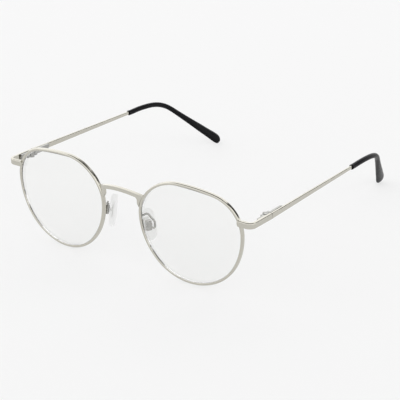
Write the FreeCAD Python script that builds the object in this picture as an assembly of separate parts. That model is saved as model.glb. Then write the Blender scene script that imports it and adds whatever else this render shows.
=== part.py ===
import FreeCAD, Part
import math
import os
from FreeCAD import Placement, Rotation, Vector

# Round wire eyeglasses, standing open on the rims' lowest points and the two temple tips.
# Millimetres and degrees. +X is the wearer's left, +Y runs back along the temples, +Z is up.
# Everything is drawn for the wearer's left in the "front frame", which has its origin midway
# between the lenses, and is mirrored for the right. stand() then sets the pair on the floor.

# --- driving dimensions -------------------------------------------------------------------
LENS_WIDTH = 50.0            # across one lens at its widest
LENS_HEIGHT = 45.3
LENS_GAP = 20.4              # between the two lenses at the nose
WRAP_ANGLE = 4.2             # each lens plane turns back towards the temple
FRAME_HALF_WIDTH = 66.3      # midline to the outer face of an endpiece
HINGE_Y = 14.2               # front plane to the hinge axis
TEMPLE_LENGTH = 72.8         # hinge axis to the mouth of the tip sleeve
TIP_STRAIGHT = 9.3           # straight neck of the sleeve
TIP_EASING_RADIUS = 62.0     # the neck starts to curve gently
TIP_EASING_ANGLE = 10.2
TIP_BEND_RADIUS = 23.5       # the bend behind the ear
TIP_BEND_ANGLE = 32.0
TIP_END_LENGTH = 36.2        # from the bend to the rounded end
TEMPLE_PITCH = 4.9           # the temples slope down towards the ears
TEMPLE_YAW = 1.7             # and converge a little
TIP_INWARD_TILT = 26.4       # the bent tips lean in towards the head

# --- lens outline: four quarters of two tangent arcs each ---------------------------------
WIDEST_LINE_Z = 5.1          # height of the widest line above mid height
CROWN_SHIFT = 5.6            # the highest point lies this far towards the nose
TURN_UPPER_TEMPLE = 11.0     # angle turned by the arc that starts at the top or bottom
TURN_UPPER_NOSE = 64.0
TURN_LOWER_TEMPLE = 65.0
TURN_LOWER_NOSE = 50.0

# --- sections -----------------------------------------------------------------------------
RIM_WIDTH = 1.2              # across the rim wire, in the lens plane
RIM_DEPTH = 1.9              # front to back
RIM_CORNER = 0.5
GROOVE_DEPTH = 0.4
GROOVE_MOUTH = 0.9
LENS_THICKNESS = 1.6
LENS_CURVE = 130.0           # radius of the lens' front face
SEAT_GAP = 0.05              # lens to rim
SOLDER_GAP = 0.03            # between pieces that are brazed together
STRIP_HEIGHT = 2.8           # endpiece and front end of the temple
STRIP_THICKNESS = 1.3
STRIP_Z = 11.35              # mid height of the endpieces above the lens' mid height
STRIP_EDGE = 0.5             # rounding of the strips' long edges
ENDPIECE_CORNER = 3.2        # outer radius of the endpiece's bend
ENDPIECE_FRONT_Y = 0.0
TEMPLE_MID_HEIGHT = 2.2
TEMPLE_END_HEIGHT = 1.65
TEMPLE_END_THICKNESS = 1.1
CORE_RADIUS = 0.6            # wire inside the tip sleeve
CORE_END_GAP = 21.0          # sleeve left solid beyond the core wire
NECK_DIAMETER = 2.45
PADDLE_WIDTH = 5.2
PADDLE_THICKNESS = 2.3

# --- hinge --------------------------------------------------------------------------------
BARREL_RADIUS = 1.3
BARREL_HEIGHT = 3.0
KNUCKLE_GAP = 0.05           # between neighbouring knuckles
HINGE_SCREW_RADIUS = 0.6
HINGE_RUNNING_GAP = 0.03     # radial, in the temple's knuckle
HEAD_RADIUS = 0.95
HEAD_DEPTH = 0.45
LEAF_THICKNESS = 1.0
LEAF_HEIGHT = 2.5
FRONT_LEAF_LENGTH = 6.0
TEMPLE_LEAF_LENGTH = 11.0
SHOULDER_THICKNESS = 2.0     # of each leaf beside the barrel
SHOULDER_LENGTH = 1.6
JOINT_GAP = 0.12             # between the endpiece's end and the temple's end

# --- bridge -------------------------------------------------------------------------------
BRIDGE_TOP_Z = 15.6
BRIDGE_RISE = 2.3            # the top edge drops this much from the middle to the rims
BRIDGE_REACH = 11.2          # half length of the arch
BRIDGE_HEIGHT = 1.7
BRIDGE_DEPTH = 1.4
BRIDGE_FRONT_Y = -4.2
BRIDGE_BOW = 1.6             # how far the ends of the arch fall back
LEG_INNER_X = 9.1
LEG_EXTRA_DEPTH = 0.6        # the turned-down ends reach further back than the arch
LEG_LOW_Z = 7.2

# --- nose pads ----------------------------------------------------------------------------
# The pads are set to a nose by hand, and the right one sits higher than the left.
PAD_CENTRES = {"left": Vector(10.1, 4.1, -3.0), "right": Vector(9.8, 4.1, -1.05)}
PAD_SPLAY = 28.0             # rear edges of the pads spread apart
PAD_FRONTAL_TILT = 6.2       # lower ends of the pads spread apart
PAD_LEAN = 3.8               # lower ends come forward
PAD_LENGTH = 15.0
PAD_WIDTH = 6.8
PAD_TOP_WIDTH = 5.6
PAD_THICKNESS = 2.8
PAD_EDGE = 1.15
INSERT_LENGTH = 6.4
INSERT_WIDTH = 2.6
INSERT_THICKNESS = 0.6
BOX_SIZE = Vector(2.0, 2.3, 4.4)     # out from the pad, front to back, up
BOX_WALL = 0.4
BOX_STANDOFF = 0.35          # pad's back to the box, room for the pad to rock
BOX_SHIFT = Vector(0.0, -1.2, 0.9)   # from the pad's centre: back and up
STUB_GAP = 0.05              # each side of the pad's stub in the box
STUB_HEIGHT = 1.1            # the stub's end is rounded about the pad screw
PAD_SCREW_RADIUS = 0.35
PAD_SCREW_HEAD = 0.62
ARM_RADIUS = 0.45
ARM_TOP_Z = 3.3              # where the arms leave the rims

# --- rim locks: the two blocks that close each rim round its lens --------------------------
LOCK_WIDTH = 1.8             # beyond the rim's widest point
LOCK_DEPTH = 2.3
LOCK_SCREW_INSET = 1.1       # from the blocks' outer face
LOCK_SLIT = 0.2
LOCK_TOP = 0.2               # above the endpiece's mid height
LOCK_BOTTOM = -1.5
LOCK_SLIT_LEVEL = -0.7
LOCK_SCREW_RADIUS = 0.45

X_AXIS = Vector(1, 0, 0)
Y_AXIS = Vector(0, 1, 0)
Z_AXIS = Vector(0, 0, 1)
ORIGIN = Vector(0, 0, 0)


# --- geometry helpers ---------------------------------------------------------------------
def rounded_edges(points, radii, closed):
    """Straight runs through the points, with a tangent arc of the given radius at each one."""
    count = len(points)
    corners = []
    for index, point in enumerate(points):
        loose_end = not closed and index in (0, count - 1)
        if loose_end or radii[index] == 0:
            corners.append((point, None, point))
            continue
        back = (points[index - 1] - point).normalize()
        ahead = (points[(index + 1) % count] - point).normalize()
        half_angle = back.getAngle(ahead) / 2
        setback = radii[index] / math.tan(half_angle)
        inward = (back + ahead).normalize()
        middle = point + inward * (radii[index] / math.sin(half_angle) - radii[index])
        corners.append((point + back * setback, middle, point + ahead * setback))
    edges = []
    for index, (start, middle, end) in enumerate(corners):
        if middle is not None:
            edges.append(Part.Arc(start, middle, end).toShape())
        is_last = index == count - 1
        if not (is_last and not closed):
            edges.append(Part.makeLine(end, corners[(index + 1) % count][0]))
    return edges


def prism(points, radii, along):
    """A closed outline with rounded corners, pushed along a vector."""
    outline = Part.Wire(rounded_edges(points, radii, True))
    return Part.Face(outline).extrude(along)


def box_between(low, high):
    return Part.makeBox(high.x - low.x, high.y - low.y, high.z - low.z, low)


def rod(radius, start, end):
    along = end - start
    return Part.makeCylinder(radius, along.Length, start, along)


def moved(shape, placement):
    copy = shape.copy()
    copy.Placement = placement.multiply(copy.Placement)
    return copy


def edges_along(shape, direction, least_length):
    """Straight edges of at least this length that run along the direction."""
    found = []
    for edge in shape.Edges:
        if edge.Length < least_length or not isinstance(edge.Curve, Part.Line):
            continue
        if abs(edge.tangentAt(edge.FirstParameter).dot(direction)) > 0.99:
            found.append(edge)
    return found


def mirrored(shape):
    return shape.mirror(ORIGIN, X_AXIS)


def slotted_screw(shank_radius, head_radius, head_depth, length):
    """A slotted screw that points down, with the top of its head at z = 0."""
    head = Part.makeCone(head_radius, shank_radius, head_depth, ORIGIN, -Z_AXIS)
    shank = rod(shank_radius, Vector(0, 0, -head_depth), Vector(0, 0, -length))
    slot_width = 0.32 * head_radius
    slot_depth = 0.5 * head_depth
    slot = box_between(Vector(-head_radius, -slot_width / 2, -slot_depth),
                       Vector(head_radius, slot_width / 2, slot_depth))
    return head.fuse(shank).removeSplitter().cut(slot)


# --- frames -------------------------------------------------------------------------------
LENS_CENTRE_X = LENS_GAP / 2 + LENS_WIDTH / 2 * math.cos(math.radians(WRAP_ANGLE))
LENS_FRAME = Placement(Vector(LENS_CENTRE_X, 0, 0), Rotation(Z_AXIS, WRAP_ANGLE))

STRIP_INNER_X = FRAME_HALF_WIDTH - STRIP_THICKNESS
STRIP_FACE = BARREL_RADIUS + SOLDER_GAP   # hinge axis to the inner faces of the strips
HINGE_X = STRIP_INNER_X - STRIP_FACE
LEG_START_Y = ENDPIECE_FRONT_Y + STRIP_THICKNESS
LOCK_OUTER_X = LENS_CENTRE_X + LENS_WIDTH / 2 + RIM_WIDTH / 2 + LOCK_WIDTH
LOCK_CENTRE = Vector(LOCK_OUTER_X - LOCK_SCREW_INSET,
                     LEG_START_Y + SOLDER_GAP + LOCK_DEPTH / 2, STRIP_Z)
# The leg frame follows the slope of the endpiece's side: y along it, z across it.
LEG_FRAME = Placement(Vector(0, LEG_START_Y, STRIP_Z), Rotation(X_AXIS, -TEMPLE_PITCH))
HINGE_ALONG_LEG = (HINGE_Y - LEG_START_Y) / math.cos(math.radians(TEMPLE_PITCH))
HINGE_FRAME = LEG_FRAME.multiply(Placement(Vector(HINGE_X, HINGE_ALONG_LEG, 0), Rotation()))
# The temple frame has its origin on the hinge axis and its y along the straight temple.
TEMPLE_FRAME = HINGE_FRAME.multiply(Placement(ORIGIN, Rotation(Z_AXIS, TEMPLE_YAW)))

PAD_TURN = (
    Rotation(Y_AXIS, -PAD_FRONTAL_TILT)
    .multiply(Rotation(X_AXIS, -PAD_LEAN))
    .multiply(Rotation(Z_AXIS, -PAD_SPLAY)))
# In the pad frame x points out of the pad's back, y to the rear and z up along the pad.
PAD_FRAMES = {side: Placement(centre, PAD_TURN) for side, centre in PAD_CENTRES.items()}
PAD_BACK_X = PAD_THICKNESS / 2
BOX_CENTRE = BOX_SHIFT + Vector(PAD_BACK_X + BOX_STANDOFF + BOX_SIZE.x / 2, 0, 0)


# --- lens outline -------------------------------------------------------------------------
def quarter_radii(width, height, turn):
    """Radii of two tangent arcs that join a level apex to an upright side."""
    sine = math.sin(math.radians(turn))
    cosine = math.cos(math.radians(turn))
    share = sine + cosine - 1
    apex_radius = (width * cosine - height * (1 - sine)) / share
    side_radius = (height * sine - width * (1 - cosine)) / share
    return apex_radius, side_radius


def arc_points(centre_x, centre_z, radius, side, level, first, last):
    """Start, middle and end of an arc, with angles measured from the vertical."""
    points = []
    for angle in (first, (first + last) / 2, last):
        reach = radius * math.sin(math.radians(angle))
        rise = radius * math.cos(math.radians(angle))
        points.append(Vector(centre_x + side * reach, 0, centre_z + level * rise))
    return points


def outline_quarter(side, level, apex_x, offset, turn):
    """Arcs of one quarter of the outline, from its apex to its side, moved out by offset."""
    half_width = (LENS_WIDTH + RIM_WIDTH) / 2 - GROOVE_DEPTH + offset
    half_height = (LENS_HEIGHT + RIM_WIDTH) / 2 - GROOVE_DEPTH + offset
    width = half_width - side * apex_x
    height = half_height - level * WIDEST_LINE_Z
    apex_radius, side_radius = quarter_radii(width, height, turn)
    apex_z = level * half_height
    centre_z = apex_z - level * apex_radius
    first = arc_points(apex_x, centre_z, apex_radius, side, level, 0, turn)
    shift = apex_radius - side_radius
    side_x = apex_x + side * shift * math.sin(math.radians(turn))
    side_z = centre_z + level * shift * math.cos(math.radians(turn))
    second = arc_points(side_x, side_z, side_radius, side, level, turn, 90)
    return [first, second]


def lens_outline(offset):
    """Closed outline in the lens plane, offset from the middle of the rim wire."""
    quarters = (
        (1, 1, -CROWN_SHIFT, TURN_UPPER_TEMPLE, False),
        (1, -1, 0.0, TURN_LOWER_TEMPLE, True),
        (-1, -1, 0.0, TURN_LOWER_NOSE, False),
        (-1, 1, -CROWN_SHIFT, TURN_UPPER_NOSE, True))
    edges = []
    for side, level, apex_x, turn, backwards in quarters:
        arcs = outline_quarter(side, level, apex_x, offset, turn)
        if backwards:
            arcs = [arc[::-1] for arc in reversed(arcs)]
        for start, middle, end in arcs:
            edges.append(Part.Arc(start, middle, end).toShape())
    return Part.Wire(edges)


def outline_prism(offset, front_y, back_y):
    face = Part.Face(lens_outline(offset))
    face.translate(Vector(0, front_y, 0))
    return face.extrude(Vector(0, back_y - front_y, 0))


def ring_along_rim(section, radii):
    """A section of (out, back) pairs, carried round the rim's middle line."""
    apex = Vector(-CROWN_SHIFT, 0, (LENS_HEIGHT + RIM_WIDTH) / 2 - GROOVE_DEPTH)
    points = [apex + Vector(0, back, out) for out, back in section]
    profile = Part.Wire(rounded_edges(points, radii, True))
    return lens_outline(0).makePipeShell([profile], True, True)


def rim_surroundings(clearance):
    """Everything inside the rim's outer contour, used to trim what is brazed beside it."""
    far = 10.0
    return moved(outline_prism(RIM_WIDTH / 2 + clearance, -far, far), LENS_FRAME)


# --- rims and lenses ----------------------------------------------------------------------
def rim():
    half_width = RIM_WIDTH / 2
    half_depth = RIM_DEPTH / 2
    section = (
        (half_width, -half_depth),
        (half_width, half_depth),
        (-half_width, half_depth),
        (-half_width, GROOVE_MOUTH / 2),
        (-half_width + GROOVE_DEPTH, 0),
        (-half_width, -GROOVE_MOUTH / 2),
        (-half_width, -half_depth))
    inner_corner = 0.25
    radii = (RIM_CORNER, RIM_CORNER, inner_corner, 0, 0, 0, inner_corner)
    wire = moved(ring_along_rim(section, radii), LENS_FRAME)
    slit_z = STRIP_Z + LOCK_SLIT_LEVEL
    slit_low = Vector(LENS_CENTRE_X + 15, -5, slit_z - LOCK_SLIT / 2)
    slit_high = Vector(FRAME_HALF_WIDTH, 8, slit_z + LOCK_SLIT / 2)
    return wire.cut(box_between(slit_low, slit_high))


def lens():
    """A meniscus with a bevel round its edge that sits in the rim's groove."""
    edge_reach = LENS_HEIGHT / 2
    bulge = edge_reach ** 2 / (2 * LENS_CURVE)
    centre = Vector(0, LENS_CURVE - bulge - LENS_THICKNESS / 2, 0)
    front = Part.makeSphere(LENS_CURVE, centre)
    back = Part.makeSphere(LENS_CURVE - LENS_THICKNESS, centre)
    blank_depth = 5.0
    body_offset = -RIM_WIDTH / 2 - SEAT_GAP
    blank = outline_prism(body_offset, -blank_depth, blank_depth)
    body = blank.common(front).cut(back)
    bevel_half = GROOVE_MOUTH / 2 - 2 * SEAT_GAP
    root = body_offset - 0.3
    tip = body_offset + GROOVE_DEPTH - SEAT_GAP / 2
    section = ((root, -bevel_half), (body_offset, -bevel_half), (tip, 0),
               (body_offset, bevel_half), (root, bevel_half))
    bevel = ring_along_rim(section, (0, 0, 0, 0, 0))
    return moved(body.fuse(bevel), LENS_FRAME)


# --- bridge -------------------------------------------------------------------------------
def arc_radius(half_span, rise):
    return (half_span ** 2 + rise ** 2) / (2 * rise)


def bridge_bow(depth):
    """The bowed space the bridge lies in, from its front face back by depth."""
    far = 20.0
    radius = arc_radius(LEG_INNER_X + 1, BRIDGE_BOW)
    centre = Vector(0, BRIDGE_FRONT_Y + radius, 0)
    bow = Part.makeCylinder(radius, far, centre, Z_AXIS)
    bow = bow.cut(Part.makeCylinder(radius - depth, far, centre, Z_AXIS))
    return bow.common(box_between(Vector(-far, BRIDGE_FRONT_Y, 0), Vector(far, 1, far)))


def bridge():
    """An arched strip, bowed forward, whose ends turn down along the rims."""
    far = 20.0
    top_radius = arc_radius(BRIDGE_REACH, BRIDGE_RISE)
    arch_centre = Vector(0, -far, BRIDGE_TOP_Z - top_radius)
    arch = Part.makeCylinder(top_radius, 2 * far, arch_centre, Y_AXIS)
    arch = arch.cut(Part.makeCylinder(top_radius - BRIDGE_HEIGHT, 2 * far, arch_centre, Y_AXIS))
    reach = BRIDGE_REACH + 1
    window = box_between(Vector(-reach, -far, LEG_LOW_Z), Vector(reach, far, BRIDGE_TOP_Z + 1))
    arch = arch.common(window).common(bridge_bow(BRIDGE_DEPTH))
    arch_end_z = BRIDGE_TOP_Z - BRIDGE_RISE - 0.9
    leg_points = [
        Vector(LEG_INNER_X - 1.0, -far, arch_end_z + 0.6),
        Vector(LEG_INNER_X, -far, 11.6),
        Vector(LEG_INNER_X, -far, 9.4),
        Vector(LEG_INNER_X + 1.0, -far, LEG_LOW_Z),
        Vector(reach, -far, LEG_LOW_Z),
        Vector(reach, -far, arch_end_z)]
    leg = prism(leg_points, (0, 1.0, 1.2, 0.3, 0, 0), Vector(0, 2 * far, 0))
    leg = leg.common(bridge_bow(BRIDGE_DEPTH + LEG_EXTRA_DEPTH))
    strip = arch.fuse([leg, mirrored(leg)]).removeSplitter()
    beside_rim = rim_surroundings(SOLDER_GAP)
    return strip.cut([beside_rim, mirrored(beside_rim)])


# --- endpiece and rim locks ---------------------------------------------------------------
def outer_long_edges(strip):
    """The upper and lower edges of the endpiece's outer side, front and leg."""
    tolerance = 0.01
    flat_enough = 0.5            # leaves out the upright edges
    shortest = 1.0
    chosen = []
    for edge in strip.Edges:
        box = edge.BoundBox
        lies_along = box.ZLength < flat_enough and edge.Length > shortest
        on_front = abs(box.YMin - ENDPIECE_FRONT_Y) < tolerance and lies_along
        on_side = abs(box.XMin - FRAME_HALF_WIDTH) < tolerance and box.YLength > shortest
        if on_front or on_side:
            chosen.append(edge)
    return chosen


def endpiece():
    """A strip lapped over the rim, bent back round the corner and ending at the hinge."""
    far = 40.0
    front = ENDPIECE_FRONT_Y
    nose_end = LENS_CENTRE_X + LENS_WIDTH / 2 - 1.5
    leg_end = HINGE_Y + BARREL_RADIUS
    plan = [
        Vector(nose_end, front, -far),
        Vector(FRAME_HALF_WIDTH, front, -far),
        Vector(FRAME_HALF_WIDTH, leg_end, -far),
        Vector(STRIP_INNER_X, leg_end, -far),
        Vector(STRIP_INNER_X, front + STRIP_THICKNESS, -far),
        Vector(nose_end, front + STRIP_THICKNESS, -far)]
    inner_corner = ENDPIECE_CORNER - STRIP_THICKNESS
    band = prism(plan, (0, ENDPIECE_CORNER, 0, 0, inner_corner, 0), Vector(0, 0, 2 * far))
    half = STRIP_HEIGHT / 2
    leg_length = HINGE_ALONG_LEG + BARREL_RADIUS
    mitre = half * math.tan(math.radians(TEMPLE_PITCH / 2))
    side = [
        Vector(0, front - 1, STRIP_Z - half),
        Vector(0, LEG_START_Y - mitre, STRIP_Z - half),
        LEG_FRAME.multVec(Vector(0, leg_length, -half)),
        LEG_FRAME.multVec(Vector(0, leg_length, half)),
        Vector(0, LEG_START_Y + mitre, STRIP_Z + half),
        Vector(0, front - 1, STRIP_Z + half)]
    strip = band.common(prism(side, (0, 0, 0, 0, 0, 0), Vector(2 * far, 0, 0)))
    strip = strip.makeFillet(STRIP_EDGE, outer_long_edges(strip))
    inside_rim = moved(outline_prism(-RIM_WIDTH / 2, -5, 5), LENS_FRAME)
    lap_front = -RIM_DEPTH / 2 - SOLDER_GAP
    lap = moved(outline_prism(RIM_WIDTH / 2 + SOLDER_GAP, lap_front, 5), LENS_FRAME)
    return strip.cut([inside_rim, lap])


def rim_lock(upper):
    """Half of the split block behind the endpiece, threaded or bored for the lock screw."""
    inner_x = LOCK_OUTER_X - LOCK_WIDTH - 4
    back = LEG_START_Y + SOLDER_GAP
    slit_z = STRIP_Z + LOCK_SLIT_LEVEL
    low_z = slit_z + LOCK_SLIT / 2 if upper else STRIP_Z + LOCK_BOTTOM
    high_z = STRIP_Z + LOCK_TOP if upper else slit_z - LOCK_SLIT / 2
    outline = [
        Vector(inner_x, back, low_z),
        Vector(LOCK_OUTER_X, back, low_z),
        Vector(LOCK_OUTER_X, back + LOCK_DEPTH, low_z),
        Vector(inner_x, back + LOCK_DEPTH, low_z)]
    block = prism(outline, (0, 0, 0.6, 0), Vector(0, 0, high_z - low_z))
    block = block.cut(rim_surroundings(SOLDER_GAP))
    bore = LOCK_SCREW_RADIUS + (0.01 if upper else 0.04)
    hole = rod(bore, LOCK_CENTRE - Z_AXIS * 3, LOCK_CENTRE + Z_AXIS * (LOCK_TOP - 0.3))
    return block.cut(hole)


def rim_lock_screw():
    """Enters from below and draws the two blocks together."""
    head_depth = 0.4
    length = LOCK_TOP - LOCK_BOTTOM + head_depth - 0.35
    screw = slotted_screw(LOCK_SCREW_RADIUS, 0.8, head_depth, length)
    below = Placement(LOCK_CENTRE + Z_AXIS * (LOCK_BOTTOM - head_depth),
                      Rotation(X_AXIS, 180))
    return moved(screw, below)


# --- hinge --------------------------------------------------------------------------------
def knuckle_heights():
    """Bottom and top of the three knuckles, lowest first, about the hinge's mid height."""
    each = (BARREL_HEIGHT - 2 * KNUCKLE_GAP) / 3
    heights = []
    for index in range(3):
        low = -BARREL_HEIGHT / 2 + index * (each + KNUCKLE_GAP)
        heights.append((low, low + each))
    return heights


def knuckle(low, high, bore_radius, web_y):
    """A ring on the hinge axis with a web to the strip's inner face."""
    ring = rod(BARREL_RADIUS, Vector(0, 0, low), Vector(0, 0, high))
    web_start = min(0, web_y)
    web_end = max(0, web_y)
    web = box_between(Vector(BARREL_RADIUS - LEAF_THICKNESS, web_start, low),
                      Vector(BARREL_RADIUS, web_end, high))
    bore = rod(bore_radius, Vector(0, 0, low - 1), Vector(0, 0, high + 1))
    return ring.fuse(web).cut(bore)


def hinge_shoulder(start_y):
    """Thick part of a leaf next to the barrel."""
    half = LEAF_HEIGHT / 2
    inner_x = BARREL_RADIUS - SHOULDER_THICKNESS
    block = box_between(Vector(inner_x, start_y, -half),
                        Vector(BARREL_RADIUS, start_y + SHOULDER_LENGTH, half))
    return block.makeFillet(0.3, [edge for edge in edges_along(block, Z_AXIS, LEAF_HEIGHT / 2)
                                  if edge.BoundBox.XMax < 0])


def hinge_front_leaf():
    """Two knuckles on a plate brazed inside the endpiece."""
    lowest, middle, highest = knuckle_heights()
    plate_end = -BARREL_RADIUS - 0.15
    half = LEAF_HEIGHT / 2
    outline = [
        Vector(BARREL_RADIUS - LEAF_THICKNESS, plate_end, -half),
        Vector(BARREL_RADIUS - LEAF_THICKNESS, plate_end - FRONT_LEAF_LENGTH, -half),
        Vector(BARREL_RADIUS, plate_end - FRONT_LEAF_LENGTH, -half),
        Vector(BARREL_RADIUS, plate_end, -half)]
    plate = prism(outline, (0, 0.6, 0, 0), Vector(0, 0, LEAF_HEIGHT))
    shoulder = hinge_shoulder(plate_end - SHOULDER_LENGTH)
    threaded = HINGE_SCREW_RADIUS + 0.01
    lower = knuckle(lowest[0], lowest[1], threaded, plate_end)
    upper = knuckle(highest[0], highest[1], HINGE_SCREW_RADIUS + HINGE_RUNNING_GAP, plate_end)
    leaf = plate.fuse([shoulder, lower, upper]).removeSplitter()
    recess = Part.makeCone(HEAD_RADIUS + 0.03, HINGE_SCREW_RADIUS + 0.03, HEAD_DEPTH,
                           Vector(0, 0, highest[1]), -Z_AXIS)
    return moved(leaf.cut(recess), HINGE_FRAME)


def hinge_temple_leaf():
    """One knuckle on a long plate brazed inside the temple, with a sloped rear end."""
    middle = knuckle_heights()[1]
    plate_start = BARREL_RADIUS + 0.3
    plate_end = TEMPLE_LEAF_LENGTH
    half = LEAF_HEIGHT / 2
    inner_x = BARREL_RADIUS - LEAF_THICKNESS
    outline = [
        Vector(inner_x, plate_start, -half),
        Vector(inner_x, plate_end, -half),
        Vector(inner_x, plate_end + 1.2, half),
        Vector(inner_x, plate_start, half)]
    plate = prism(outline, (0, 0.5, 0.5, 0), Vector(LEAF_THICKNESS, 0, 0))
    ring = knuckle(middle[0], middle[1], HINGE_SCREW_RADIUS + HINGE_RUNNING_GAP, plate_start)
    shoulder = hinge_shoulder(plate_start)
    return moved(plate.fuse([shoulder, ring]).removeSplitter(), TEMPLE_FRAME)


def hinge_screw():
    screw = slotted_screw(HINGE_SCREW_RADIUS, HEAD_RADIUS, HEAD_DEPTH, BARREL_HEIGHT)
    top = Placement(Vector(0, 0, BARREL_HEIGHT / 2), Rotation(Z_AXIS, 35))
    return moved(screw, HINGE_FRAME.multiply(top))


# --- temple and tip -----------------------------------------------------------------------
TIP_START = Vector(STRIP_FACE + STRIP_THICKNESS / 2, TEMPLE_LENGTH, 0)
TIP_DOWN = Vector(-math.sin(math.radians(TIP_INWARD_TILT)), 0,
                  -math.cos(math.radians(TIP_INWARD_TILT)))
# Length and radius of each run of the sleeve's middle line; a straight run has no radius.
TIP_RUNS = (
    (TIP_STRAIGHT, None),
    (TIP_EASING_RADIUS * math.radians(TIP_EASING_ANGLE), TIP_EASING_RADIUS),
    (TIP_BEND_RADIUS * math.radians(TIP_BEND_ANGLE), TIP_BEND_RADIUS),
    (TIP_END_LENGTH, None))
TIP_LENGTH = sum(length for length, radius in TIP_RUNS)


def tip_point(distance):
    """Point and direction at a distance along the sleeve's middle line."""
    point = TIP_START
    along = Y_AXIS
    angle = 0.0
    for length, radius in TIP_RUNS:
        step = min(distance, length)
        distance -= step
        if radius is None:
            point = point + along * step
            continue
        inward = TIP_DOWN * math.cos(angle) - Y_AXIS * math.sin(angle)
        turn = step / radius
        point = point + along * (radius * math.sin(turn)) + inward * (radius * (1 - math.cos(turn)))
        angle += turn
        along = Y_AXIS * math.cos(angle) + TIP_DOWN * math.sin(angle)
    return point, along


def wire_in_tip(radius, last):
    """Round wire along the sleeve's middle line, from just inside the temple to last."""
    lead_in = 1.0
    start = TIP_START - Y_AXIS * lead_in
    edges = []
    reached = 0.0
    for length, bend_radius in TIP_RUNS:
        end = min(reached + length, last)
        first = tip_point(reached)[0] if edges else start
        if bend_radius is None:
            edges.append(Part.makeLine(first, tip_point(end)[0]))
        else:
            middle = tip_point((reached + end) / 2)[0]
            edges.append(Part.Arc(first, middle, tip_point(end)[0]).toShape())
        reached = end
    section = Part.Wire(Part.makeCircle(radius, start, Y_AXIS))
    return Part.Wire(edges).makePipeShell([section], True, True)


def temple():
    """A tapering strip that ends in the core wire inside the tip sleeve."""
    start = BARREL_RADIUS + JOINT_GAP
    end = TEMPLE_LENGTH - SOLDER_GAP
    far = 10.0
    mid_x = STRIP_FACE + STRIP_THICKNESS / 2
    end_half = TEMPLE_END_THICKNESS / 2
    plan = [
        Vector(STRIP_FACE, start, -far),
        Vector(STRIP_FACE + STRIP_THICKNESS, start, -far),
        Vector(mid_x + end_half, end, -far),
        Vector(mid_x - end_half, end, -far)]
    band = prism(plan, (0, 0, 0, 0), Vector(0, 0, 2 * far))
    middle = (start + end) / 2
    heights = (STRIP_HEIGHT / 2, TEMPLE_MID_HEIGHT / 2, TEMPLE_END_HEIGHT / 2)
    tops = [Vector(0, y, h) for y, h in zip((start, middle, end), heights)]
    lows = [Vector(0, y, -h) for y, h in zip((start, middle, end), heights)]
    side = Part.Face(Part.Wire([
        Part.Arc(*tops).toShape(),
        Part.makeLine(tops[2], lows[2]),
        Part.Arc(*reversed(lows)).toShape(),
        Part.makeLine(lows[0], tops[0])]))
    strip = band.common(side.extrude(Vector(far, 0, 0)))
    long_edges = [edge for edge in strip.Edges if edge.Length > TEMPLE_LENGTH / 2]
    strip = strip.makeFillet(STRIP_EDGE, long_edges)
    core = wire_in_tip(CORE_RADIUS, TIP_LENGTH - CORE_END_GAP)
    return moved(strip.fuse(core), TEMPLE_FRAME)


def smooth_step(value):
    clamped = min(max(value, 0), 1)
    return clamped * clamped * (3 - 2 * clamped)


def tip_section(distance):
    """Width and thickness of the sleeve, which widens into a paddle with a rounded end."""
    widening = smooth_step((distance - 0.45 * TIP_LENGTH) / (0.55 * TIP_LENGTH))
    width = NECK_DIAMETER + (PADDLE_WIDTH - NECK_DIAMETER) * widening
    thickness = NECK_DIAMETER + (PADDLE_THICKNESS - NECK_DIAMETER) * widening
    cap_length = PADDLE_WIDTH / 2
    into_cap = max(distance - (TIP_LENGTH - cap_length), 0) / cap_length
    rounding = math.sqrt(max(1 - into_cap ** 2, 0))
    return width * rounding, thickness * rounding ** 0.5


def temple_tip():
    """Sleeve over the core wire: round neck, bend behind the ear and flat paddle."""
    cap_length = PADDLE_WIDTH / 2
    body_steps = 13
    distances = [(TIP_LENGTH - cap_length) * i / body_steps for i in range(body_steps + 1)]
    cap_angles = (25, 48, 66, 79)
    for angle in cap_angles:
        reach = cap_length * math.sin(math.radians(angle))
        distances.append(TIP_LENGTH - cap_length + reach)
    across = Y_AXIS.cross(TIP_DOWN)
    sections = []
    for distance in distances:
        point, direction = tip_point(distance)
        width, thickness = tip_section(distance)
        upright = direction.cross(across)
        rim_points = []
        sides = 16
        for index in range(sides):
            angle = 2 * math.pi * index / sides
            offset = upright * (width / 2 * math.cos(angle))
            rim_points.append(point + offset + across * (thickness / 2 * math.sin(angle)))
        curve = Part.BSplineCurve()
        curve.interpolate(rim_points, PeriodicFlag=True)
        sections.append(Part.Wire(curve.toShape()))
    sleeve = Part.makeLoft(sections, True, False)
    bore = wire_in_tip(CORE_RADIUS + SEAT_GAP, TIP_LENGTH - CORE_END_GAP + 0.5)
    return moved(sleeve.cut(bore), TEMPLE_FRAME)


# --- nose pads ----------------------------------------------------------------------------
def pad_outline(x):
    """A long rounded outline, wider at its lower end."""
    low_radius = PAD_WIDTH / 2
    top_radius = PAD_TOP_WIDTH / 2
    low_z = -PAD_LENGTH / 2 + low_radius
    top_z = PAD_LENGTH / 2 - top_radius
    lean = math.asin((low_radius - top_radius) / (top_z - low_z))
    across = math.cos(lean)
    up = math.sin(lean)
    low_side = Vector(x, low_radius * across, low_z + low_radius * up)
    top_side = Vector(x, top_radius * across, top_z + top_radius * up)
    low_other = Vector(x, -low_side.y, low_side.z)
    top_other = Vector(x, -top_side.y, top_side.z)
    low_arc = Part.Arc(low_other, Vector(x, 0, low_z - low_radius), low_side)
    top_arc = Part.Arc(top_side, Vector(x, 0, top_z + top_radius), top_other)
    return Part.Wire([
        low_arc.toShape(),
        Part.makeLine(low_side, top_side),
        top_arc.toShape(),
        Part.makeLine(top_other, low_other)])


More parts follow.
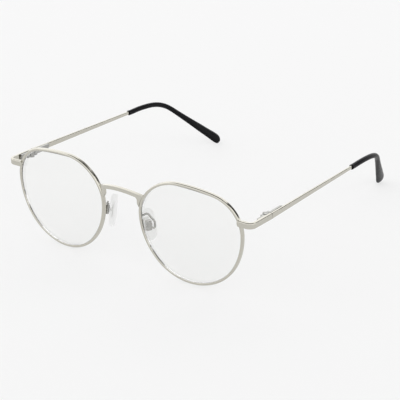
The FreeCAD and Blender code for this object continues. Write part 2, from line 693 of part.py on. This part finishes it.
def insert_shape(grow):
    """Plate moulded into the pad, with the stub that enters the pad box."""
    half = Vector(INSERT_THICKNESS / 2, INSERT_WIDTH / 2, INSERT_LENGTH / 2)
    margin = Vector(grow, grow, grow)
    plate_centre = Vector(0, BOX_SHIFT.y, BOX_SHIFT.z)
    plate = box_between(plate_centre - half - margin, plate_centre + half + margin)
    stub_half_y = BOX_SIZE.y / 2 - BOX_WALL - STUB_GAP
    stub_low = Vector(0, BOX_CENTRE.y - stub_half_y, BOX_CENTRE.z - STUB_HEIGHT / 2)
    stub_high = Vector(BOX_CENTRE.x, BOX_CENTRE.y + stub_half_y, BOX_CENTRE.z + STUB_HEIGHT / 2)
    stub = box_between(stub_low - margin, stub_high + margin)
    side = Y_AXIS * (stub_half_y + grow)
    eye = rod(STUB_HEIGHT / 2 + grow, BOX_CENTRE - side, BOX_CENTRE + side)
    return plate.fuse([stub, eye]).removeSplitter()


def nose_pad(frame):
    """Soft clear pad, rounded all round, with a cavity for its insert."""
    body = Part.Face(pad_outline(-PAD_THICKNESS / 2)).extrude(X_AXIS * PAD_THICKNESS)
    level_edges = [edge for edge in body.Edges if edge.BoundBox.XLength < 0.01]
    body = body.makeFillet(PAD_EDGE, level_edges)
    return moved(body.cut(insert_shape(SOLDER_GAP)), frame)


def nose_pad_insert(frame):
    hole = rod(PAD_SCREW_RADIUS + 0.03, BOX_CENTRE - Y_AXIS * 3, BOX_CENTRE + Y_AXIS * 3)
    return moved(insert_shape(0).cut(hole), frame)


def pad_box(frame):
    """Small channel that holds the pad's stub; its mouth faces the pad."""
    half = BOX_SIZE * 0.5
    body = box_between(BOX_CENTRE - half, BOX_CENTRE + half)
    upright = edges_along(body, Z_AXIS, BOX_SIZE.z / 2)
    body = body.makeFillet(0.3, upright)
    channel_half = Vector(half.x, half.y - BOX_WALL, half.z - BOX_WALL)
    channel_centre = BOX_CENTRE - X_AXIS * BOX_WALL
    channel = box_between(channel_centre - channel_half, channel_centre + channel_half)
    hole = rod(PAD_SCREW_RADIUS + 0.02, BOX_CENTRE - Y_AXIS * 3, BOX_CENTRE + Y_AXIS * 3)
    return moved(body.cut([channel, hole]), frame)


def pad_screw(frame):
    """Crosses the box from its rear side; the pad rocks about it."""
    head_depth = 0.3
    screw = slotted_screw(PAD_SCREW_RADIUS, PAD_SCREW_HEAD, head_depth, BOX_SIZE.y + head_depth)
    rear = BOX_CENTRE + Y_AXIS * (BOX_SIZE.y / 2 + head_depth)
    return moved(screw, frame.multiply(Placement(rear, Rotation(X_AXIS, -90))))


def pad_arm(frame):
    """Wire from the rim's back, over and down behind the box and forward into its side."""
    in_rim = Vector(9.64, -1.6, ARM_TOP_Z - 0.2)
    in_pad_frame = [
        Vector(2.5, -1.1, ARM_TOP_Z - frame.Base.z),
        Vector(3.3, 1.6, 2.0),
        Vector(3.1, 1.5, -1.6),
        BOX_CENTRE]
    points = [in_rim] + [frame.multVec(point) for point in in_pad_frame]
    radii = (0, 1.3, 1.6, 0.7, 0)
    path = Part.Wire(rounded_edges(points, radii, False))
    section = Part.Wire(Part.makeCircle(ARM_RADIUS, in_rim, points[1] - points[0]))
    wire = path.makePipeShell([section], True, True)
    far = 40.0
    rim_plane = RIM_DEPTH / 2 + SOLDER_GAP
    ahead = moved(box_between(Vector(-far, -far, -far), Vector(far, rim_plane, far)), LENS_FRAME)
    gap = Vector(SOLDER_GAP, SOLDER_GAP, SOLDER_GAP)
    half_box = BOX_SIZE * 0.5 + gap
    in_box = moved(box_between(BOX_CENTRE - half_box, BOX_CENTRE + half_box), frame)
    return wire.cut([ahead, in_box])


# --- assembly -----------------------------------------------------------------------------
ONE_SIDE = {
    "rim": rim,
    "lens": lens,
    "endpiece": endpiece,
    "rim_lock_upper": lambda: rim_lock(True),
    "rim_lock_lower": lambda: rim_lock(False),
    "rim_lock_screw": rim_lock_screw,
    "hinge_front_leaf": hinge_front_leaf,
    "hinge_temple_leaf": hinge_temple_leaf,
    "hinge_screw": hinge_screw,
    "temple": temple,
    "temple_tip": temple_tip,
}
PAD_GROUP = {
    "pad_arm": pad_arm,
    "pad_box": pad_box,
    "pad_screw": pad_screw,
    "nose_pad": nose_pad,
    "nose_pad_insert": nose_pad_insert,
}


def front_frame_parts():
    parts = {"bridge": bridge()}
    for name, make in ONE_SIDE.items():
        shape = make()
        parts[name + "_left"] = shape
        parts[name + "_right"] = mirrored(shape)
    for name, make in PAD_GROUP.items():
        parts[name + "_left"] = make(PAD_FRAMES["left"])
        parts[name + "_right"] = mirrored(make(PAD_FRAMES["right"]))
    return parts


def stand(parts):
    """Placement that sets the rims and the tips on z = 0, centred on the footprint."""
    rim_shape = parts["rim_left"]
    tip_shape = parts["temple_tip_left"]
    angle = 0.0
    for _ in range(4):
        turn = Placement(ORIGIN, Rotation(X_AXIS, angle))
        rim_box = moved(rim_shape, turn).optimalBoundingBox()
        tip_box = moved(tip_shape, turn).optimalBoundingBox()
        angle += math.degrees((rim_box.ZMin - tip_box.ZMin) / tip_box.YMax)
    turn = Placement(ORIGIN, Rotation(X_AXIS, angle))
    whole = Part.makeCompound([moved(shape, turn) for shape in parts.values()])
    box = whole.optimalBoundingBox()
    return Placement(Vector(0, -(box.YMin + box.YMax) / 2, -box.ZMin), turn.Rotation)


def build():
    os.makedirs("parts", exist_ok=True)
    parts = front_frame_parts()
    place = stand(parts)
    for name, shape in parts.items():
        solid = moved(shape, place)
        solid.exportStep(os.path.join("parts", name + ".step"))
        print(name, "valid" if solid.isValid() else "NOT VALID", len(solid.Solids),
              round(solid.Volume, 2))
    return parts, place


PARTS, PLACE = build()
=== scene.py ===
import math

import bpy
from mathutils import Matrix, Vector

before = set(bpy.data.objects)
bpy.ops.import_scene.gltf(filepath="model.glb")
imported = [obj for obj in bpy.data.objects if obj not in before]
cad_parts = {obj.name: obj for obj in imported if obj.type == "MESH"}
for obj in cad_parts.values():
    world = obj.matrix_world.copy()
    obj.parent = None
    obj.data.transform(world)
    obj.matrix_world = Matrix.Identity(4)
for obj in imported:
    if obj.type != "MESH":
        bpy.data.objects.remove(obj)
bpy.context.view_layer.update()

# --- camera: metres and degrees -----------------------------------------------------------
CAMERA_TARGET = Vector((0.02519, -0.04874, 0.02958))
CAMERA_AZIMUTH = 35.08       # round from straight ahead, towards the wearer's left
CAMERA_ELEVATION = 23.82
CAMERA_ROLL = -0.69
CAMERA_DISTANCE = 0.7016
CAMERA_LENS = 144.6          # millimetres, on the sensor below
SENSOR_WIDTH = 36.0
CLIP_NEAR = 0.01
CLIP_FAR = 20.0

# --- floor --------------------------------------------------------------------------------
FLOOR_HALF_SIZE = 3.0
FLOOR_COLOUR = (0.22, 0.22, 0.22)
FLOOR_GLOW = 0.645           # the floor is a lit panel, so shadows on it stay faint
FLOOR_ROUGHNESS = 0.9

# --- studio light: the sky lights everything, and the metal mirrors it --------------------
WALL_LEVEL = 1.5
DARK_LEVEL = 0.05
CEILING_START = 0.70         # height, on a unit sphere, where the dark ceiling fades in
CEILING_FULL = 0.80
CARD_DIRECTION = (0.45, 0.76, 0.47)   # a dark card hangs behind the frame, to the wearer's left
CARD_EDGE = 0.935            # cosine of the angle from the card's middle to its soft edge
CARD_FULL = 0.965
SUN_ANGLE = 120.0
SUN_STRENGTH = 1.15


# --- node helpers -------------------------------------------------------------------------
def new_material(name):
    material = bpy.data.materials.new(name)
    material.use_nodes = True
    tree = material.node_tree
    shader = tree.nodes["Principled BSDF"]
    return material, tree, shader


def add(tree, kind, inputs=None, **settings):
    """Adds a node, sets its properties and its inputs, and links any input given as a socket."""
    node = tree.nodes.new(kind)
    for key, value in settings.items():
        setattr(node, key, value)
    for key, value in (inputs or {}).items():
        if isinstance(value, bpy.types.NodeSocket):
            tree.links.new(value, node.inputs[key])
        else:
            node.inputs[key].default_value = value
    return node


def noise(tree, scale, detail):
    """A cloudy pattern from 0 to 1, fixed to the object. The scale is cycles per metre."""
    vector = add(tree, "ShaderNodeTexCoord").outputs["Object"]
    inputs = {"Vector": vector, "Scale": scale, "Detail": detail}
    return add(tree, "ShaderNodeTexNoise", inputs).outputs["Fac"]


def remap(tree, value, low, high):
    """Maps 0..1 to low..high."""
    node = add(tree, "ShaderNodeMapRange", {"Value": value, "To Min": low, "To Max": high})
    return node.outputs["Result"]


def fade(tree, value, start, full):
    """Goes smoothly from 0 at start to 1 at full."""
    inputs = {"Value": value, "From Min": start, "From Max": full}
    return add(tree, "ShaderNodeMapRange", inputs, interpolation_type="SMOOTHSTEP").outputs["Result"]


def colour_by(tree, shader, pattern, first, second):
    """The base colour goes from the first to the second with the pattern."""
    inputs = {"Factor": pattern, "A": (*first, 1), "B": (*second, 1)}
    mix = add(tree, "ShaderNodeMix", inputs, data_type="RGBA")
    tree.links.new(mix.outputs["Result"], shader.inputs["Base Color"])


def grain_by(tree, shader, pattern, smoothest, roughest, bump_strength, bump_height):
    """Roughness and bump follow the pattern. The bump's height is in metres."""
    tree.links.new(remap(tree, pattern, smoothest, roughest), shader.inputs["Roughness"])
    inputs = {"Height": pattern, "Strength": bump_strength, "Distance": bump_height}
    bump = add(tree, "ShaderNodeBump", inputs)
    tree.links.new(bump.outputs["Normal"], shader.inputs["Normal"])


def new_metal(name):
    material, tree, shader = new_material(name)
    shader.inputs["Metallic"].default_value = 1.0
    return material, tree, shader


def new_clear(name, tint, ior, roughness):
    """Clear solid that lets the light for shadows through, so that it hardly shades the floor."""
    material, tree, shader = new_material(name)
    shader.inputs["Base Color"].default_value = (*tint, 1)
    shader.inputs["Transmission Weight"].default_value = 1.0
    shader.inputs["IOR"].default_value = ior
    shader.inputs["Roughness"].default_value = roughness
    through = add(tree, "ShaderNodeBsdfTransparent", {"Color": (*tint, 1)})
    in_shadow = add(tree, "ShaderNodeLightPath").outputs["Is Shadow Ray"]
    inputs = {0: in_shadow, 1: shader.outputs["BSDF"], 2: through.outputs["BSDF"]}
    mix = add(tree, "ShaderNodeMixShader", inputs)
    tree.links.new(mix.outputs["Shader"], tree.nodes["Material Output"].inputs["Surface"])
    return material, tree, shader


# --- materials ----------------------------------------------------------------------------
def frame_metal():
    """Satin silver plating with a faint warm tint."""
    material, tree, shader = new_metal("satin_silver_plating")
    cloud = noise(tree, scale=90.0, detail=3.0)
    colour_by(tree, shader, cloud, (0.525, 0.508, 0.45), (0.585, 0.567, 0.505))
    fine = noise(tree, scale=2500.0, detail=5.0)
    grain_by(tree, shader, fine, 0.11, 0.18, bump_strength=0.08, bump_height=0.00002)
    return material


def polished_metal():
    """Bare nickel of the small fittings: the hinges and what holds the pads."""
    material, tree, shader = new_metal("polished_nickel")
    cloud = noise(tree, scale=400.0, detail=3.0)
    colour_by(tree, shader, cloud, (0.34, 0.34, 0.325), (0.41, 0.405, 0.385))
    fine = noise(tree, scale=3000.0, detail=4.0)
    grain_by(tree, shader, fine, 0.07, 0.13, bump_strength=0.05, bump_height=0.00001)
    return material


def screw_metal():
    material, tree, shader = new_metal("turned_screw_steel")
    fine = noise(tree, scale=3500.0, detail=4.0)
    colour_by(tree, shader, fine, (0.40, 0.395, 0.38), (0.52, 0.515, 0.495))
    grain_by(tree, shader, fine, 0.15, 0.3, bump_strength=0.05, bump_height=0.00001)
    return material


def lens_material():
    """Polished lens with a barely uneven coating."""
    material, tree, shader = new_clear("clear_lens", (0.957, 0.959, 0.951), ior=1.5, roughness=0.0)
    coating = noise(tree, scale=60.0, detail=2.0)
    colour_by(tree, shader, coating, (0.953, 0.955, 0.946), (0.961, 0.963, 0.956))
    grain_by(tree, shader, coating, 0.0, 0.02, bump_strength=0.02, bump_height=0.00001)
    return material


def pad_material():
    """Soft pad. Its index is below that of silicone, which keeps the bright walls out of it."""
    material, tree, shader = new_clear("clear_silicone", (0.88, 0.88, 0.88), ior=1.07, roughness=0.28)
    soft = noise(tree, scale=260.0, detail=2.0)
    colour_by(tree, shader, soft, (0.83, 0.83, 0.825), (0.91, 0.91, 0.905))
    grain_by(tree, shader, soft, 0.24, 0.34, bump_strength=0.05, bump_height=0.00003)
    return material


def insert_material():
    """Plate inside the pad, nearly as clear as the pad itself."""
    material, tree, shader = new_clear("frosted_insert", (0.8, 0.8, 0.8), ior=1.01, roughness=0.35)
    fine = noise(tree, scale=500.0, detail=3.0)
    colour_by(tree, shader, fine, (0.80, 0.80, 0.79), (0.87, 0.87, 0.86))
    grain_by(tree, shader, fine, 0.3, 0.42, bump_strength=0.1, bump_height=0.00002)
    return material


def tip_material():
    material, tree, shader = new_material("black_acetate")
    cloud = noise(tree, scale=220.0, detail=4.0)
    colour_by(tree, shader, cloud, (0.004, 0.004, 0.005), (0.009, 0.009, 0.010))
    fine = noise(tree, scale=1800.0, detail=4.0)
    grain_by(tree, shader, fine, 0.22, 0.32, bump_strength=0.1, bump_height=0.00003)
    shader.inputs["Specular IOR Level"].default_value = 0.055
    return material


def finish_cad_nodes():
    """Nodes of one kind, such as lens_left and lens_right, share a material."""
    plating = frame_metal()
    screw = screw_metal()
    polished = polished_metal()
    material_of_kind = {
        "pad_arm": polished,
        "pad_box": polished,
        "hinge_front_leaf": polished,
        "hinge_temple_leaf": polished,
        "lens": lens_material(),
        "nose_pad_insert": insert_material(),
        "nose_pad": pad_material(),
        "temple_tip": tip_material(),
        "pad_screw": screw,
        "hinge_screw": screw,
        "rim_lock_screw": screw,
    }
    for name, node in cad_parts.items():
        kind = name.rsplit("_", 1)[0]
        material = material_of_kind.get(kind, plating)
        for slot in node.material_slots:
            slot.material = material


# --- stage --------------------------------------------------------------------------------
def make_floor():
    mesh = bpy.data.meshes.new("floor")
    half = FLOOR_HALF_SIZE
    corners = [(-half, -half, 0), (half, -half, 0), (half, half, 0), (-half, half, 0)]
    mesh.from_pydata(corners, [], [(0, 1, 2, 3)])
    floor = bpy.data.objects.new("floor", mesh)
    bpy.context.scene.collection.objects.link(floor)
    material, _, shader = new_material("pale_floor")
    shader.inputs["Base Color"].default_value = (*FLOOR_COLOUR, 1)
    shader.inputs["Roughness"].default_value = FLOOR_ROUGHNESS
    shader.inputs["Emission Color"].default_value = (1, 1, 1, 1)
    shader.inputs["Emission Strength"].default_value = FLOOR_GLOW
    mesh.materials.append(material)


def make_soft_sun():
    """Very wide light from straight above, left out of every reflection."""
    lamp = bpy.data.lights.new("overhead", "SUN")
    lamp.angle = math.radians(SUN_ANGLE)
    lamp.energy = SUN_STRENGTH
    light = bpy.data.objects.new("overhead", lamp)
    light.location = (0, 0, 1)
    light.visible_glossy = False
    bpy.context.scene.collection.objects.link(light)


def make_world():
    """A studio with bright walls, a dark ceiling and a dark card, seen as dark lines in the metal."""
    world = bpy.data.worlds.new("studio")
    world.use_nodes = True
    tree = world.node_tree
    direction = add(tree, "ShaderNodeTexCoord").outputs["Generated"]
    height = add(tree, "ShaderNodeSeparateXYZ", {0: direction}).outputs["Z"]
    towards_card = add(tree, "ShaderNodeVectorMath", {0: direction, 1: CARD_DIRECTION},
                       operation="DOT_PRODUCT").outputs["Value"]
    ceiling = fade(tree, height, CEILING_START, CEILING_FULL)
    card = fade(tree, towards_card, CARD_EDGE, CARD_FULL)
    dark = add(tree, "ShaderNodeMath", {0: ceiling, 1: card}, operation="MAXIMUM").outputs[0]
    background = tree.nodes["Background"]
    background.inputs["Color"].default_value = (1, 1, 1, 1)
    tree.links.new(remap(tree, dark, WALL_LEVEL, DARK_LEVEL), background.inputs["Strength"])
    bpy.context.scene.world = world


def make_camera():
    azimuth = math.radians(CAMERA_AZIMUTH)
    elevation = math.radians(CAMERA_ELEVATION)
    level = math.cos(elevation)
    back = Vector((math.sin(azimuth) * level, -math.cos(azimuth) * level, math.sin(elevation)))
    right = Vector((math.cos(azimuth), math.sin(azimuth), 0))
    up = back.cross(right)
    turn = Matrix((right, up, back)).transposed()
    roll = Matrix.Rotation(math.radians(CAMERA_ROLL), 3, "Z")
    camera_data = bpy.data.cameras.new("camera")
    camera_data.lens = CAMERA_LENS
    camera_data.sensor_width = SENSOR_WIDTH
    camera_data.clip_start = CLIP_NEAR
    camera_data.clip_end = CLIP_FAR
    camera = bpy.data.objects.new("camera", camera_data)
    camera.rotation_mode = "QUATERNION"
    camera.rotation_quaternion = (turn @ roll).to_quaternion()
    camera.location = CAMERA_TARGET + back * CAMERA_DISTANCE
    bpy.context.scene.collection.objects.link(camera)
    bpy.context.scene.camera = camera


finish_cad_nodes()
make_floor()
make_world()
make_soft_sun()
make_camera()
bpy.context.scene.view_settings.view_transform = "Standard"
